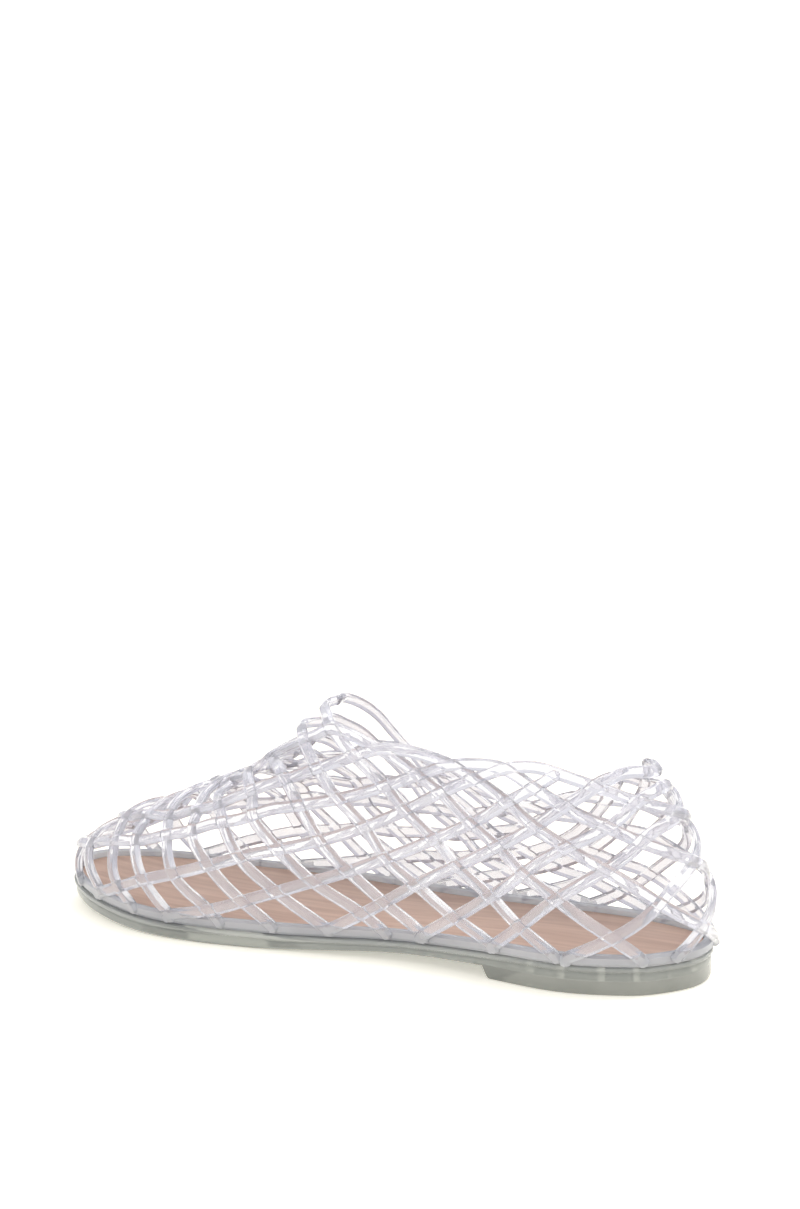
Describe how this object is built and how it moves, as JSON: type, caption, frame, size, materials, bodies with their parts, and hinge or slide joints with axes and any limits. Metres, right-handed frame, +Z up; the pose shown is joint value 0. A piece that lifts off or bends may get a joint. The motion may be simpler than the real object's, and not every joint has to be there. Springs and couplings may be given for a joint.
{
  "type": "flat shoe",
  "caption": "Clear moulded jelly ballet flat for the right foot, with a woven lattice upper, a scalloped collar, a thin translucent sole with a low heel and a tan insole.",
  "frame": {"origin": "on the floor under the middle of the shoe's box", "axes": "+Y towards the toe, -X the inner side of the right foot, +Z up"},
  "size_m": [0.079, 0.2528, 0.0816],
  "materials": {
    "clear_plastic": "clear soft moulded plastic, glossy, with a faint violet tint",
    "sole_plastic": "translucent grey soft moulded plastic, glossy side",
    "tan_insole": "matt smooth tan sheet with a fine grain"
  },
  "bodies": {
    "root": {"upper": "clear_plastic", "sole": "sole_plastic", "insole": "tan_insole"}
  },
  "joints": []
}
